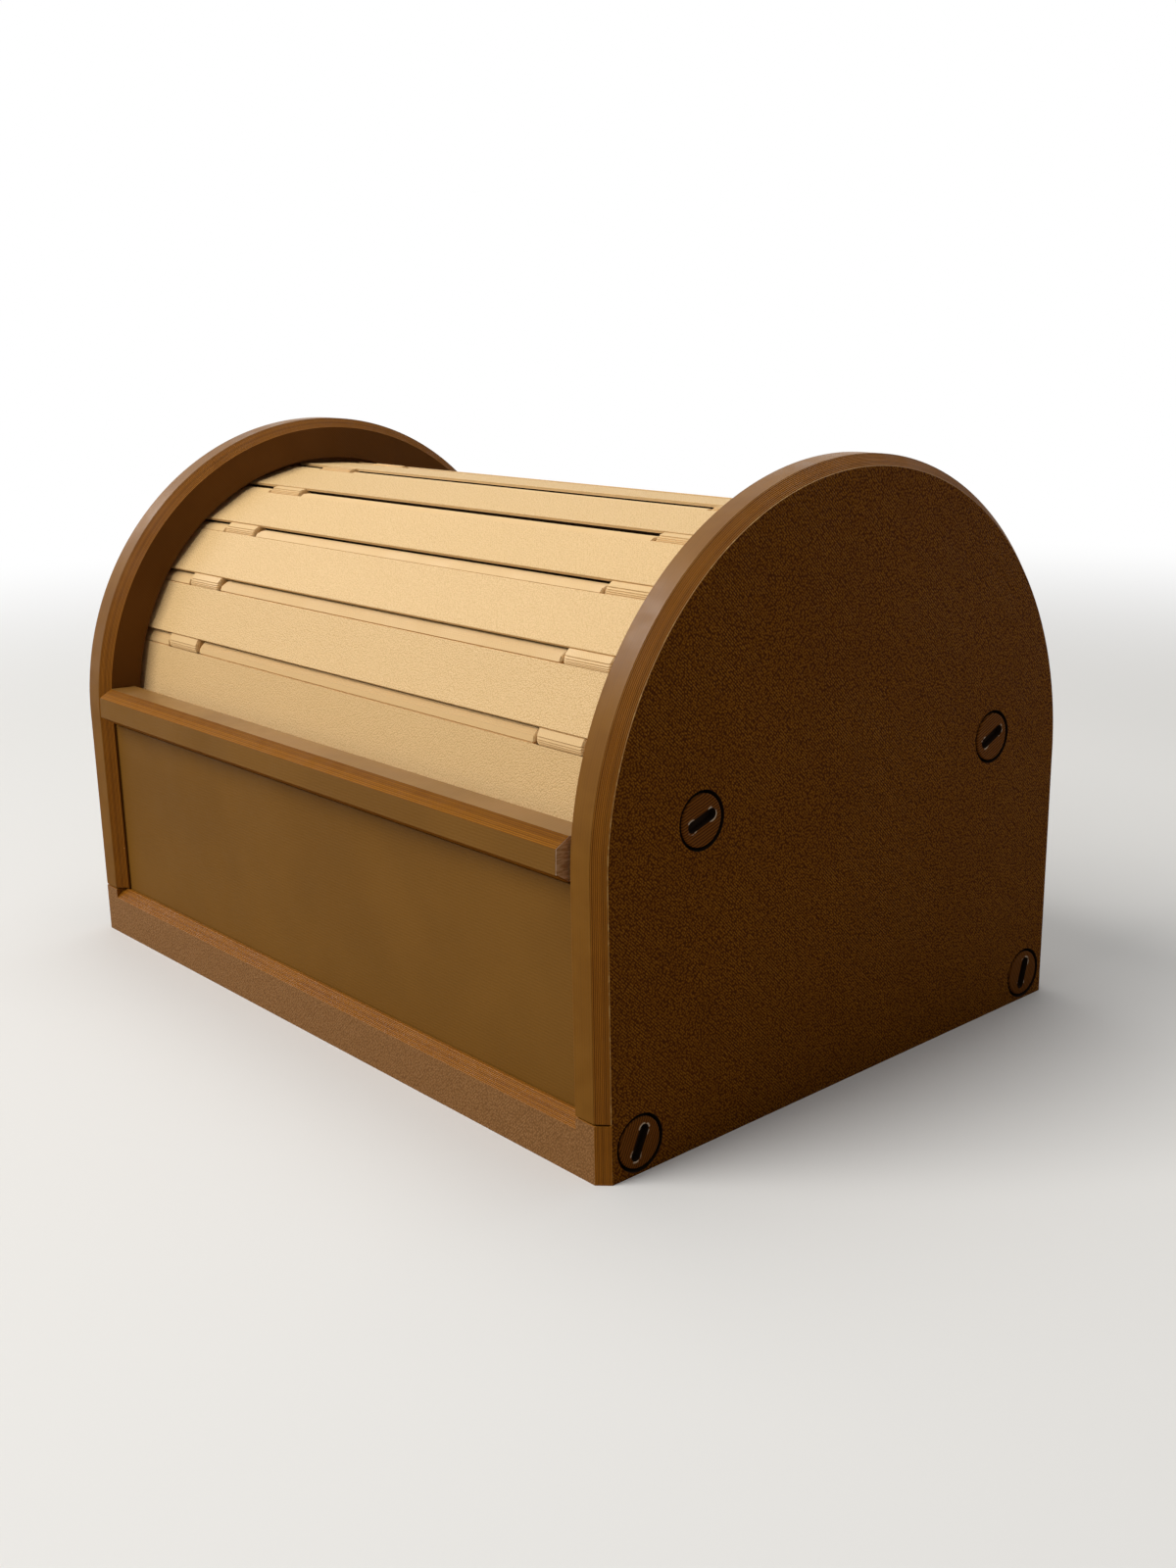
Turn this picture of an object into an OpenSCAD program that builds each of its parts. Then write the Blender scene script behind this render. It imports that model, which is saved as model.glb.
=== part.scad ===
// Roll-top keepsake box with a slatted tambour lid.
// Frame: X runs side to side, the front faces -Y, Z is up, and the origin lies on the table under the
// middle of the box. Track angles are measured about the arch's centre, from the front upwards.

/* [Case] */
// Overall width, over both side panels
body_w = 168; // [140:1:240]
// Overall depth of the side panels, which is twice the arch's radius
body_d = 120; // [100:1:150]
// Overall height to the top of the arch
body_h = 110; // [92:1:140]
// Thickness of a side panel
panel_t = 8.4; // [7.6:0.2:12]
// Chamfer along the side panels' edges
edge_chamfer = 2; // [1.2:0.2:2.4]

/* [Rails and walls] */
// Height of the base rails
rail_h = 10.2; // [10:0.2:14]
// Depth of a base rail behind its face strip
rail_d = 12; // [11:0.5:16]
// Thickness of the front and back panels
wall_t = 3; // [2:0.2:4]
// How far the front panel lies behind the side panels' front edges
front_recess = 2.6; // [2.2:0.1:3.6]
// How far the back panel lies inside the side panels' rear edges
back_recess = 4.4; // [2.6:0.1:4.6]
// How far the back panel stands above the arch's centre
back_rise = 13.5; // [6:0.5:13.5]
// Thickness of the floor panel
floor_t = 2.4; // [1.6:0.2:3.2]
// Depth of the slots that hold the front and back panels
slot_depth = 2.5; // [1.5:0.1:3.2]
// Clearance of a panel in its slot, each side
slot_gap = 0.15; // [0.1:0.05:0.3]
// Thickness of the inner walls round the contents
inner_t = 3; // [2:0.2:3.6]
// Width and height of the inner walls' screw bars
bar_block = 10.5; // [9:0.5:12]
// Clearance from the screw bars' corners to the curtain
block_gap = 1.6; // [1:0.1:4]

/* [Curtain] */
// Angle from one slat to the next
slat_pitch = 16; // [14:0.5:16.5]
// Thickness of a slat
slat_t = 3.6; // [3:0.1:4.2]
// Angle of the joint between the pull bar and the first slat
first_joint = 4.9; // [4:0.1:6]
// Distance from the side panels' edge to the track's outer wall
track_edge = 8.8; // [8.4:0.1:11]
// Depth of the track in a side panel
track_depth = 4.2; // [3.4:0.1:4.8]
// Clearance from the slats' corners to the track's outer wall
corner_gap = 0.8; // [0.5:0.1:1.2]
// Width of a hinge knuckle
knuckle_w = 11.7; // [8:0.1:14]
// Distance from a side panel's inner face to the knuckle
knuckle_inset = 8.6; // [6:0.1:12]
// Clearance at each side of a knuckle
knuckle_gap = 0.3; // [0.2:0.05:0.5]
// Diameter of the pins printed into the hinges
pin_d = 1.7; // [1.4:0.1:1.9]

/* [Pull bar] */
// Height of the pull bar
bar_h = 7.5; // [6.5:0.1:8.5]
// How far the pull bar stands out from the slats
bar_reach = 11; // [9:0.1:14]
// Depth of the pull bar's edge chamfers
bar_chamfer_d = 2.7; // [1:0.1:3.4]
// Height of the pull bar's edge chamfers
bar_chamfer_h = 1.65; // [0.8:0.05:2]
// Angle at which the closed pull bar stands
bar_angle = 2.2; // [2:0.1:3.4]

/* [Screws] */
// Diameter of a screw head
head_d = 8.8; // [8:0.1:9.4]
// Thickness of a screw head
head_t = 2.9; // [2:0.1:3.4]
// Gap round a screw head in its recess
head_gap = 0.6; // [0.2:0.05:0.6]
// Diameter of a screw shank
shank_d = 5.8; // [4:0.1:6.2]
// Length of a screw shank beyond the side panel
shank_grip = 14; // [8:0.5:20]
// Length of the slot in a screw head
driver_l = 6.4; // [4:0.1:7]
// Width of the slot in a screw head
driver_w = 2; // [0.8:0.1:2]
// Height of the upper screws above the arch's centre
upper_rise = 6; // [0:0.5:8]

/* [Hidden] */
$fn = 96;

BROWN = "#5d3c1e";
DARK_BROWN = "#49301a";
TAN = "#d8b47f";

// How far cuts run past the faces they open
OVER = 1;
// Gap between parts that are assembled face to face
FIT = 0.1;
// How far shapes of one piece run into each other
LAP = 0.5;
// Number of slats, one node each
slat_count = 10;

// Case. The rails' face strips are as thick as the side panels' chamfers, which they carry on.
arch_r = body_d / 2;
arch_z = body_h - arch_r;
inner_x = body_w / 2 - panel_t;
inner_len = inner_x - FIT;
strip_t = edge_chamfer;
notch_gap = 0.3;
notch_h = rail_h + notch_gap;
rail_y0 = strip_t - arch_r;
rail_y1 = rail_y0 + rail_d;
front_face_y = front_recess - arch_r;
back_face_y = arch_r - back_recess;
back_top_z = arch_z + back_rise;
slot_x = inner_x + slot_depth;
slot_end_gap = 0.3;
groove_depth = 2;
panel_foot_z = rail_h - groove_depth;
rebate_depth = 3;
floor_reach_y = rebate_depth - rail_y1 - FIT;

// Track and slats, as radii about the arch's centre
track_gap = 0.4;
end_gap = 0.8;
track_ro = arch_r - track_edge;
corner_r = track_ro - corner_gap;
slat_face = corner_r * cos(slat_pitch / 2);
slat_back = slat_face - slat_t;
track_ri = slat_back - track_gap;
slat_half = slat_face * tan(slat_pitch / 2);
slat_end_x = inner_x + track_depth - end_gap;

// Hinge axis, in a slat's own frame of radius and height, and seen from the slat above it
barrel_inset = 0.05;
socket_gap = 0.3;
pin_gap = 0.2;
barrel_r = slat_t / 2 - barrel_inset;
socket_r = barrel_r + socket_gap;
axis_r = slat_face - slat_t / 2;
axis_t = slat_half - barrel_r;
axis_rho = norm([axis_r, axis_t]);
axis_phi = atan(axis_t / axis_r);
low_axis_r = axis_rho * cos(axis_phi - slat_pitch);
low_axis_t = axis_rho * sin(axis_phi - slat_pitch);
bevel_len = 3.05;
bevel_drop = 1.3;
foot_t = axis_t + barrel_r - bevel_len;
knuckle_root_t = low_axis_t + 1.2 * barrel_r + 0.6;
knuckle_x1 = inner_x - knuckle_inset;
knuckle_x0 = knuckle_x1 - knuckle_w;

// Travel: the last slat's lower corner stops just above the floor panel
tail_gap = 0.6;
tail_trim = 0.4;
tail_angle = first_joint + slat_count * slat_pitch;
floor_ratio = (arch_z - floor_t - tail_gap) / corner_r;
tail_stop = 180 + asin(min(0.98, floor_ratio));
open_angle = tail_stop - tail_angle;
track_start = -4;
track_end = tail_stop + 0.8;

// Pull bar, in its own frame of radius and height
bar_end_gap = 0.4;
bar_rest_gap = 0.3;
bar_inset = 0.44;
bar_root = 0.3;
bar_back_gap = 1.335;
bar_back_lift = 0.225;
runner_lift = 0.2;
bar_r0 = corner_r - bar_inset;
bar_r1 = bar_r0 + bar_reach;
bar_x = inner_x - bar_end_gap;
bar_axis_turn = first_joint - slat_pitch / 2 + axis_phi - bar_angle;
bar_axis_r = axis_rho * cos(bar_axis_turn);
bar_axis_t = axis_rho * sin(bar_axis_turn);
first_edge_t = corner_r * sin(first_joint - bar_angle);
bar_back_t = min(first_edge_t - bar_back_gap, bar_axis_t + bar_back_lift);
front_top_z = arch_z + bar_r0 * sin(bar_angle) - bar_h / 2 * cos(bar_angle) - bar_rest_gap;

// Inner walls: everything stays inside the curtain's inner radius
liner_gap = 0.9;
liner_lift = 2.2;
liner_a0 = 165;
liner_a1 = 270;
liner_ro = slat_back - liner_gap;
liner_ri = liner_ro - inner_t;
liner_floor_z = max(arch_z - liner_ro, floor_t + liner_lift);
liner_drop = arch_z - liner_floor_z;
liner_flat_y = max(LAP, sqrt(max(0, liner_ro * liner_ro - liner_drop * liner_drop)) - LAP / 2);
block_r = slat_back - block_gap;
block_top = upper_rise + bar_block / 2;
block_y1 = sqrt(block_r * block_r - block_top * block_top);
block_y0 = block_y1 - bar_block;
block_z0 = arch_z + block_top - bar_block;
block_step = 1.25;
inner_wall_y = block_y1 - block_step;
runner_w = 5;

// Screws
hole_gap = 0.3;
core_gap = 0.1;
core_spare = 2;
head_seat = 0.1;
lower_lift = 0.3;
driver_depth = 1.3;
recess_d = head_d + 2 * head_gap;
hole_d = shank_d + 2 * hole_gap;
core_d = shank_d + 2 * core_gap;
core_x = inner_len - shank_grip - core_spare;
lower_y = arch_r - strip_t - rail_d / 2;
lower_z = rail_h / 2 + lower_lift;
upper_y = (block_y0 + block_y1) / 2;
upper_z = arch_z + upper_rise;

echo(open_angle = open_angle, joint_height = arch_z);

// Runs a profile drawn in Y and Z along X from x0 to x1
module across(x0, x1) {
    translate([x0, 0, 0])
        rotate([90, 0, 90])
            linear_extrude(height = x1 - x0)
                children();
}

// Puts a profile drawn in radius and height about the track at an angle
module on_track(angle) {
    translate([0, arch_z])
        rotate(-angle)
            mirror([1, 0])
                children();
}

// A cylinder along X from x0 to x1
module x_rod(d, x0, x1) {
    translate([x0, 0, 0])
        rotate([0, 90, 0])
            cylinder(d = d, h = x1 - x0);
}

// Both of a mirrored pair about the middle of the width
module both_sides() {
    for (side = [0, 1])
        mirror([side, 0, 0])
            children();
}

// A ring sector between two track angles, cut along X from depth x0 to x1
module track_ring(r0, r1, a0, a1, x0, x1) {
    translate([0, 0, arch_z])
        rotate([90, 0, 90])
            rotate([0, 0, 180 - a1])
                rotate_extrude(angle = a1 - a0)
                    translate([r0, x0])
                        square([r1 - r0, x1 - x0]);
}

// ---- Side panels, drawn with the outer face at X = 0 ----

module panel_blank() {
    c = edge_chamfer;
    translate([0, 0, arch_z])
        rotate([90, 0, 90])
            rotate_extrude(angle = 180)
                polygon([
                    [0, 0], [arch_r - c, 0], [arch_r, c],
                    [arch_r, panel_t - c], [arch_r - c, panel_t], [0, panel_t]
                ]);
    linear_extrude(height = arch_z)
        polygon([
            [0, -arch_r + c], [c, -arch_r], [panel_t - c, -arch_r], [panel_t, -arch_r + c],
            [panel_t, arch_r - c], [panel_t - c, arch_r], [c, arch_r], [0, arch_r - c]
        ]);
}

module wall_slot(face_y, inward, top_z) {
    y0 = min(face_y, face_y + inward * wall_t) - slot_gap;
    translate([panel_t - slot_depth - slot_gap, y0, panel_foot_z])
        cube([slot_depth + slot_gap + OVER, wall_t + 2 * slot_gap, top_z - panel_foot_z]);
}

module screw_hole(y, z) {
    translate([0, y, z]) {
        x_rod(recess_d, -OVER, head_t + head_seat);
        x_rod(hole_d, 0, panel_t + OVER);
    }
}

module side_panel() {
    difference() {
        panel_blank();
        track_ring(track_ri, track_ro, track_start, track_end, panel_t - track_depth, panel_t + OVER);
        for (end = [-1, 1])
            translate([-OVER, end > 0 ? arch_r - strip_t : -arch_r - OVER, -OVER])
                cube([panel_t + 2 * OVER, strip_t + OVER, notch_h + OVER]);
        wall_slot(front_face_y, 1, front_top_z + slot_end_gap);
        wall_slot(back_face_y, -1, back_top_z + slot_end_gap);
        for (end = [-1, 1]) {
            screw_hole(end * upper_y, upper_z);
            screw_hole(end * lower_y, lower_z);
        }
    }
}

module left_side_panel() {
    color(BROWN)
        translate([-body_w / 2, 0, 0])
            side_panel();
}

module right_side_panel() {
    color(BROWN)
        mirror([1, 0, 0])
            translate([-body_w / 2, 0, 0])
                side_panel();
}

// ---- Front and back panels ----

module wall_panel(face_y, inward, top_z) {
    y0 = min(face_y, face_y + inward * wall_t);
    translate([-slot_x, y0, panel_foot_z + FIT])
        cube([2 * slot_x, wall_t, top_z - panel_foot_z - FIT]);
}

module front_panel() {
    color(BROWN)
        wall_panel(front_face_y, 1, front_top_z);
}

module back_panel() {
    color(BROWN)
        wall_panel(back_face_y, -1, back_top_z);
}

// ---- Base rails: a full-width face strip in front of a bar that fits between the side panels ----

module base_rail(recess) {
    c = edge_chamfer;
    half = body_w / 2;
    cut_x = inner_len + OVER;
    chamfer_x = inner_x + c;
    difference() {
        union() {
            linear_extrude(height = rail_h)
                polygon([[-half, rail_y0], [c - half, -arch_r], [half - c, -arch_r], [half, rail_y0]]);
            translate([-inner_len, rail_y0 - LAP, 0])
                cube([2 * inner_len, rail_d + LAP, rail_h]);
        }
        across(-chamfer_x, chamfer_x)
            polygon([
                [-arch_r - OVER, rail_h - c - OVER],
                [-arch_r + c + OVER, rail_h + OVER],
                [-arch_r - OVER, rail_h + OVER]
            ]);
        translate([-cut_x, recess - slot_gap - arch_r, panel_foot_z])
            cube([2 * cut_x, wall_t + 2 * slot_gap, groove_depth + OVER]);
        translate([-cut_x, rail_y1 - rebate_depth, -OVER])
            cube([2 * cut_x, rebate_depth + OVER, floor_t + FIT + OVER]);
        both_sides()
            translate([0, -lower_y, lower_z])
                x_rod(core_d, core_x, cut_x);
    }
}

module front_base_rail() {
    color(BROWN)
        base_rail(front_recess);
}

module rear_base_rail() {
    color(BROWN)
        mirror([0, 1, 0])
            base_rail(back_recess);
}

module floor_panel() {
    color(DARK_BROWN)
        translate([-inner_len, -floor_reach_y, 0])
            cube([2 * inner_len, 2 * floor_reach_y, floor_t]);
}

// ---- Inner walls round the contents ----

module screw_bar(end) {
    difference() {
        translate([-inner_len, end > 0 ? block_y0 : -block_y1, block_z0])
            cube([2 * inner_len, bar_block, bar_block]);
        both_sides()
            translate([0, end * upper_y, upper_z])
                x_rod(core_d, core_x, inner_len + OVER);
    }
}

module inner_front_wall() {
    color(DARK_BROWN) {
        screw_bar(-1);
        translate([-inner_len, -inner_wall_y, floor_t])
            cube([2 * inner_len, inner_t, block_z0 - floor_t + LAP]);
    }
}

module inner_liner() {
    floor_y0 = inner_t + FIT - inner_wall_y;
    color(DARK_BROWN) {
        screw_bar(1);
        intersection() {
            track_ring(liner_ri, liner_ro, liner_a0, liner_a1, -inner_len, inner_len);
            translate([-inner_len, 0, liner_floor_z])
                cube([2 * inner_len, arch_r, block_z0 + bar_block / 2 - liner_floor_z]);
        }
        translate([-inner_len, floor_y0, liner_floor_z])
            cube([2 * inner_len, liner_flat_y - floor_y0, inner_t]);
        for (y = [floor_y0, -runner_w])
            translate([-inner_len, y, floor_t])
                cube([2 * inner_len, runner_w, liner_floor_z - floor_t + LAP]);
    }
}

// ---- Screws, drawn for the left side ----

module screw(y, z, turn) {
    translate([-body_w / 2, y, z])
        difference() {
            union() {
                x_rod(head_d, 0, head_t);
                x_rod(shank_d, head_t - LAP, panel_t + shank_grip);
            }
            rotate([turn, 0, 0]) {
                translate([-OVER, driver_w / 2 - driver_l / 2, -driver_w / 2])
                    cube([OVER + driver_depth, driver_l - driver_w, driver_w]);
                for (end = [-1, 1])
                    translate([0, end * (driver_l - driver_w) / 2, 0])
                        x_rod(driver_w, -OVER, driver_depth);
            }
        }
}

module upper_screws(front_turn, rear_turn) {
    color(BROWN) {
        screw(-upper_y, upper_z, front_turn);
        screw(upper_y, upper_z, rear_turn);
    }
}

module lower_screws(front_turn, rear_turn) {
    color(BROWN) {
        screw(-lower_y, lower_z, front_turn);
        screw(lower_y, lower_z, rear_turn);
    }
}

module left_upper_screws() {
    upper_screws(-28, 70);
}

module left_lower_screws() {
    lower_screws(15, -50);
}

module right_upper_screws() {
    mirror([1, 0, 0])
        upper_screws(18, 24);
}

module right_lower_screws() {
    mirror([1, 0, 0])
        lower_screws(65, 74);
}

// ---- Curtain: profiles in radius and height ----

// The bevelled barrel along a slat's upper edge
module barrel_profile() {
    difference() {
        union() {
            translate([axis_r, axis_t])
                circle(barrel_r);
            translate([axis_r - barrel_r, foot_t - LAP])
                square([2 * barrel_r, axis_t - foot_t + LAP]);
        }
        bevel_profile(foot_t, 1);
    }
}

// What a bevel takes off: it starts on the slat's face at a height and falls away up or down
module bevel_profile(from_t, way) {
    beyond = 1.4;
    far_t = from_t + way * beyond * bevel_len;
    polygon([
        [slat_face, from_t],
        [slat_face - beyond * bevel_drop, far_t],
        [slat_face + OVER, far_t],
        [slat_face + OVER, from_t]
    ]);
}

// The plain part of a slat between its two hinge lines
module slat_body_profile(top_t) {
    difference() {
        translate([slat_back, -slat_half])
            square([slat_t, slat_half + top_t]);
        translate([low_axis_r, low_axis_t])
            circle(socket_r);
    }
}

// The knuckle that reaches down from a slat into the one below
module knuckle_profile() {
    difference() {
        union() {
            translate([low_axis_r, low_axis_t])
                circle(barrel_r);
            translate([slat_back, low_axis_t])
                square([slat_t, knuckle_root_t - low_axis_t]);
        }
        bevel_profile(-slat_half, -1);
        translate([low_axis_r, low_axis_t])
            circle(d = pin_d + 2 * pin_gap);
    }
}

// The barrels of an upper edge, either side of the two pockets
module barrels(angle) {
    both_sides()
        across(knuckle_x1 + knuckle_gap, slat_end_x)
            on_track(angle)
                children();
    across(knuckle_gap - knuckle_x0, knuckle_x0 - knuckle_gap)
        on_track(angle)
            children();
}

// The pockets that take the knuckles of the slat above, round the hinge axis [r, t]
module pockets(angle, r, t) {
    both_sides()
        across(knuckle_x0 - knuckle_gap, knuckle_x1 + knuckle_gap)
            on_track(angle)
                translate([r, t])
                    circle(socket_r);
}

// The pins that cross the pockets from barrel to barrel
module hinge_pins(angle, r, t) {
    both_sides()
        across(knuckle_x0 - OVER, knuckle_x1 + OVER)
            on_track(angle)
                translate([r, t])
                    circle(d = pin_d);
}

module slat(index) {
    angle = first_joint + (index - 0.5) * slat_pitch;
    color(TAN) {
        if (index < slat_count) {
            difference() {
                union() {
                    across(-slat_end_x, slat_end_x)
                        on_track(angle)
                            slat_body_profile(foot_t);
                    barrels(angle)
                        barrel_profile();
                }
                pockets(angle, axis_r, axis_t);
            }
            hinge_pins(angle, axis_r, axis_t);
        } else {
            across(-slat_end_x, slat_end_x)
                on_track(angle)
                    slat_body_profile(slat_half - tail_trim);
        }
        both_sides()
            across(knuckle_x0, knuckle_x1)
                on_track(angle)
                    knuckle_profile();
    }
}

// ---- Pull bar, with the short runner that carries it in the track ----

module bar_profile() {
    top_t = bar_h / 2;
    back_r = bar_r0 - bar_root;
    polygon([
        [back_r, bar_chamfer_h - top_t], [bar_r0 + bar_chamfer_d, -top_t],
        [bar_r1 - bar_chamfer_d, -top_t], [bar_r1, bar_chamfer_h - top_t],
        [bar_r1, top_t - bar_chamfer_h], [bar_r1 - bar_chamfer_d, top_t],
        [bar_r0 + bar_chamfer_d, top_t], [back_r, bar_back_t]
    ]);
}

module runner_profile() {
    low_t = runner_lift - bar_h / 2;
    translate([slat_back, low_t])
        square([slat_t, bar_axis_t - low_t]);
}

module pull_bar() {
    color(BROWN) {
        difference() {
            union() {
                across(-bar_x, bar_x)
                    on_track(bar_angle)
                        bar_profile();
                across(-slat_end_x, slat_end_x)
                    on_track(bar_angle)
                        runner_profile();
                barrels(bar_angle)
                    translate([bar_axis_r, bar_axis_t])
                        circle(barrel_r);
            }
            pockets(bar_angle, bar_axis_r, bar_axis_t);
        }
        hinge_pins(bar_angle, bar_axis_r, bar_axis_t);
    }
}

left_side_panel();
right_side_panel();
front_panel();
back_panel();
front_base_rail();
rear_base_rail();
floor_panel();
inner_front_wall();
inner_liner();
left_upper_screws();
left_lower_screws();
right_upper_screws();
right_lower_screws();
pull_bar();
slat(1);  // slat_01
slat(2);  // slat_02
slat(3);  // slat_03
slat(4);  // slat_04
slat(5);  // slat_05
slat(6);  // slat_06
slat(7);  // slat_07
slat(8);  // slat_08
slat(9);  // slat_09
slat(10);  // slat_10
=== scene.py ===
"""The looks of a roll-top keepsake box: a dark brown printed case with a curtain of tan slats.

Frame: metres, X side to side, the front faces -Y, Z up, origin on the table under the middle of the
box. Lengths here are in millimetres and are brought to metres by MM where a mesh is made. A slat's or
the pull bar's own frame has r, the distance from the arch's centre, and t, the height along the curtain.
"""
import math

import bmesh
import bpy
import numpy as np
from mathutils import Matrix, Vector


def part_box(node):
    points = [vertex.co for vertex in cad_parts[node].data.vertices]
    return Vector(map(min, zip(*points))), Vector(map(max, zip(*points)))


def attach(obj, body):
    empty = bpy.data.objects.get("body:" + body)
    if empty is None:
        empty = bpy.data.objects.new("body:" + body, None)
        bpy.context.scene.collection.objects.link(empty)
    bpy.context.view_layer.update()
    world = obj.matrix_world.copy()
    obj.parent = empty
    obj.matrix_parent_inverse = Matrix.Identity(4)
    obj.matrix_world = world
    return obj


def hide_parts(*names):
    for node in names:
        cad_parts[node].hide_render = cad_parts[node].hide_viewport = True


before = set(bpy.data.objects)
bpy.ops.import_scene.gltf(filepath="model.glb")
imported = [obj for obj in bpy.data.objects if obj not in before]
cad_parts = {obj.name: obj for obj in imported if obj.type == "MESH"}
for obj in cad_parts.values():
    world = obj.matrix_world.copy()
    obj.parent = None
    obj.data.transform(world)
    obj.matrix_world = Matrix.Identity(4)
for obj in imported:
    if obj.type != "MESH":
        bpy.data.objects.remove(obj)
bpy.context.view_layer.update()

MM = 0.001


def size_of(node):
    """Lowest and highest corners of a CAD node, in millimetres."""
    low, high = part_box(node)
    return np.array(low) / MM, np.array(high) / MM


# Camera, fitted to the photograph's own frame of 1200 x 1600
IMAGE_H = 1600
FOCAL_PX = 1762.87
SENSOR_H = 36.0
CAMERA_AT = (266.58, -222.84, 134.47)
CAMERA_AZIMUTH = 48.571
CAMERA_ELEVATION = 15.557
CAMERA_ROLL = -1.029

# Lights, in metres: place, size, power, colour, and whether matte surfaces are lit by it
AIM = (0, 0, 0.05)
LIGHTS = {
    "key_light": ((-0.34, -1.02, 1.08), 0.9, 18.8, (1.0, 0.985, 0.96), True),
    "top_light": ((-0.15, 0.20, 1.25), 1.0, 6.5, (1.0, 0.99, 0.97), True),
    "sheen_light": ((-1.0, -0.40, 0.92), 0.5, 9.0, (1.0, 1.0, 1.0), False),
}
SKY = (0.93, 0.96, 1.0)
SKY_STRENGTH = 0.16

# Floor, in metres: its reach, and the distances over which it fades to white
FLOOR_REACH = 1.6
FLOOR_SIDES = 96
FLOOR_FADE = (0.26, 0.7)
FLOOR_SEEN = (0.80, 0.79, 0.77)
FLOOR_BOUNCE = (0.46, 0.38, 0.28)

# Fits: between parts put face to face, of a cut past the face that it opens, of one shape in another
FIT = 0.1
OVER = 1.0
LAP = 0.05

# Case, from the side panel's own box
PANEL_LOW, PANEL_HIGH = size_of("right_side_panel")
HALF_W = PANEL_HIGH[0]
PANEL_T = PANEL_HIGH[0] - PANEL_LOW[0]
ARCH_R = PANEL_HIGH[1]
ARCH_Z = PANEL_HIGH[2] - ARCH_R
ARCH_POINTS = 121
INNER_X = HALF_W - PANEL_T
CHAMFER = 2.0
NOTCH_GAP = 0.4
WALL_GAP = 0.15
WALL_HEADROOM = 0.3
WALL_ARRIS = 0.25

# Base rails, and the floor panel that lies on their rebates
RAIL_H = size_of("front_base_rail")[1][2]
RAIL_D = 12.0
REBATE_D = 3.0
CORE_L = 16.0
FLOOR_T = size_of("floor_panel")[1][2]

# Printing: layer height, how far a layer's edge pulls back from its bulge, the width of a laid line, and
# the angle in degrees past which an edge is shaded sharp
LAYER = 0.2
GROOVE = 0.045
LINE = 0.42
SHARP_ANGLE = 27

# Curtain, and its track. Angles are in degrees, from the front upwards.
SLATS = 10
PITCH = 16.0
FIRST_JOINT = 4.9
SLAT_T = 3.6
TRACK_EDGE = 8.8
TRACK_DEPTH = 4.2
TRACK_GAP = 0.4
TRACK_TURN = (-4.0, 249.6)
TRACK_POINTS = 128
CORNER_GAP = 0.8
END_GAP = 0.8
HALF_PITCH = math.radians(PITCH / 2)
TRACK_OUT = ARCH_R - TRACK_EDGE
CORNER_R = TRACK_OUT - CORNER_GAP
SLAT_FACE = CORNER_R * math.cos(HALF_PITCH)
SLAT_HALF = CORNER_R * math.sin(HALF_PITCH)
SLAT_BACK = SLAT_FACE - SLAT_T
SLAT_END = INNER_X + TRACK_DEPTH - END_GAP
TRACK_IN = SLAT_BACK - TRACK_GAP

# Hinges: the axis at a slat's upper edge, and that of the slat below, in the slat's own frame
BARREL_INSET = 0.05
SOCKET_GAP = 0.3
PIN_R = 0.85
BARREL_R = SLAT_T / 2 - BARREL_INSET
SOCKET_R = BARREL_R + SOCKET_GAP
AXIS_R = SLAT_FACE - SLAT_T / 2
AXIS_T = SLAT_HALF - BARREL_R
AXIS_RHO = math.hypot(AXIS_R, AXIS_T)
AXIS_PHI = math.atan2(AXIS_T, AXIS_R)
LOW_PHI = AXIS_PHI - math.radians(PITCH)
LOW_R = AXIS_RHO * math.cos(LOW_PHI)
LOW_T = AXIS_RHO * math.sin(LOW_PHI)
HINGE_POINTS = 36

# Barrels: their foot on the slat, how far they run below it, how much shorter they are than the space
# between two knuckles, and how far each layer's nose lies below the slat's top
FOOT_T = SLAT_HALF - 3.05
TAIL_T = SLAT_HALF - 0.4
BARREL_ROOT = 0.4
BARREL_SHY = 0.25
BARREL_STEPS = np.array([1.70, 1.28, 0.94, 0.64, 0.38, 0.17])

# Knuckles, the pockets that they hang in, and how far each layer's nose lies below the axis
KNUCKLE_INSET = 8.6
KNUCKLE_W = 11.7
KNUCKLE_GAP = 0.3
KNUCKLE_ROOT = LOW_T + 2.7
KNUCKLE_OUT = INNER_X - KNUCKLE_INSET
KNUCKLE_IN = KNUCKLE_OUT - KNUCKLE_W
POCKET_OUT = KNUCKLE_OUT + KNUCKLE_GAP
POCKET_IN = KNUCKLE_IN - KNUCKLE_GAP
KNUCKLE_STEPS = np.array([0.42, 0.90, 1.22, 1.45, 1.60, 1.68])

# Ends of barrels and knuckles: the round of the corners, distances from the end, how far the face has
# stepped down there, and the depth from which that fades out below the face
END_ROUND = 0.8
END_AWAY = np.array([0, 0.10, 0.11, 0.22, 0.23, 0.36, 0.37, 0.56, END_ROUND])
END_DROP = np.array([0.53, 0.53, 0.28, 0.28, 0.13, 0.13, 0, 0, 0])
END_FADE = (0.2, 1.6)

# Pull bar. BAR_ENDS has distances from an end, and the share of the section there.
BAR_ANGLE = 2.2
BAR_H = 7.5
BAR_REACH = 11.0
BAR_INSET = 0.44
BAR_ROOT = 0.3
BAR_END_GAP = 0.4
BAR_BEVEL_D = 2.7
BAR_BEVEL_H = 1.65
BAR_LEAN = 0.85
BAR_R0 = CORNER_R - BAR_INSET
BAR_R1 = BAR_R0 + BAR_REACH
BAR_BACK_R = BAR_R0 - BAR_ROOT
BAR_BACK_T = 0.9
BAR_X = INNER_X - BAR_END_GAP
BAR_ENDS = ((0, 0.965), (0, 0.99), (0.12, 1))
RUNNER_LIFT = 0.2

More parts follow.
